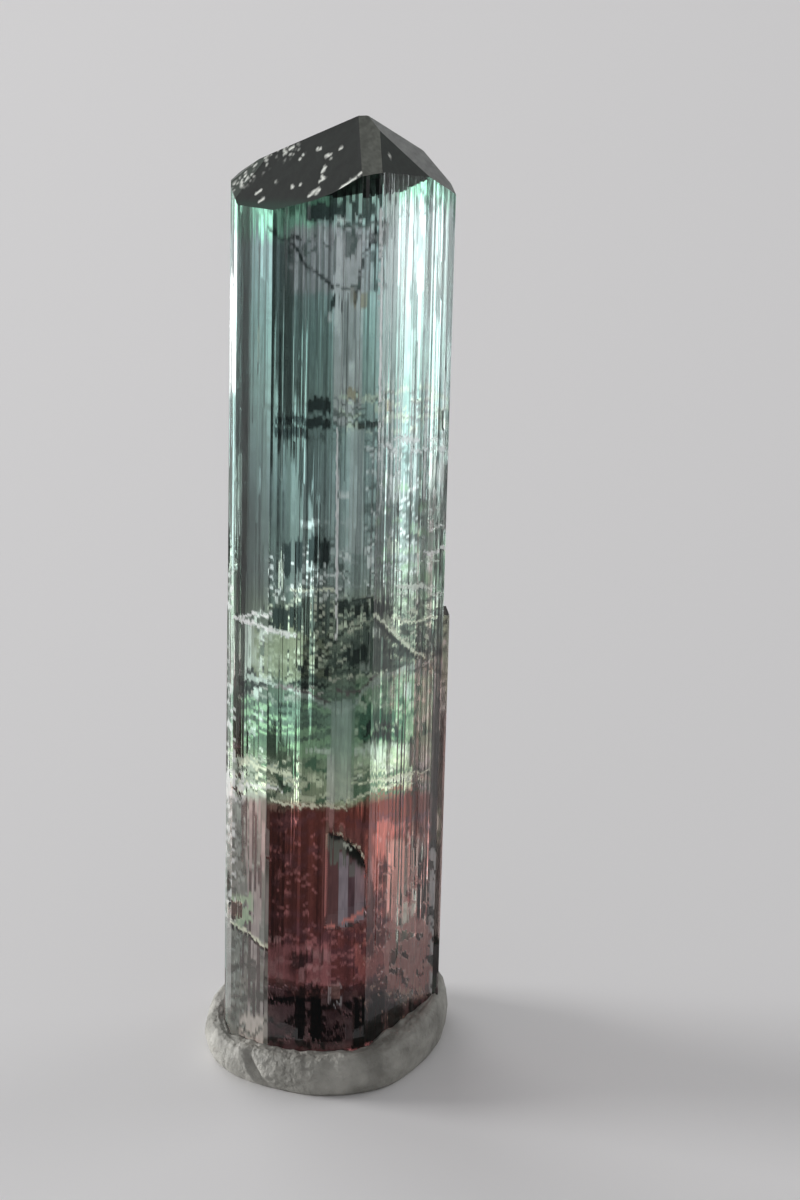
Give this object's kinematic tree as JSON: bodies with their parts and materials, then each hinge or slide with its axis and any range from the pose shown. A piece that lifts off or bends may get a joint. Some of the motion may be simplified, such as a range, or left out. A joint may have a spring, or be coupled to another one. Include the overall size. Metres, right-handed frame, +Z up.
{
  "type": "tourmaline crystal",
  "caption": "Tall striated prism crystal with a slanted faceted tip, standing upright with its broken foot in a lump of display putty.",
  "frame": {"origin": "on the table, under the middle of the part's bounding box", "axes": "+Z up along the crystal, the viewer looks along +Y, +X to the viewer's right"},
  "size_m": [0.0202, 0.018, 0.0822],
  "materials": {
    "tourmaline": "vitreous, striated lengthwise, with colour zones across its length",
    "putty": "matte"
  },
  "bodies": {
    "root": {"crystal": "tourmaline", "putty": "putty"}
  },
  "joints": []
}
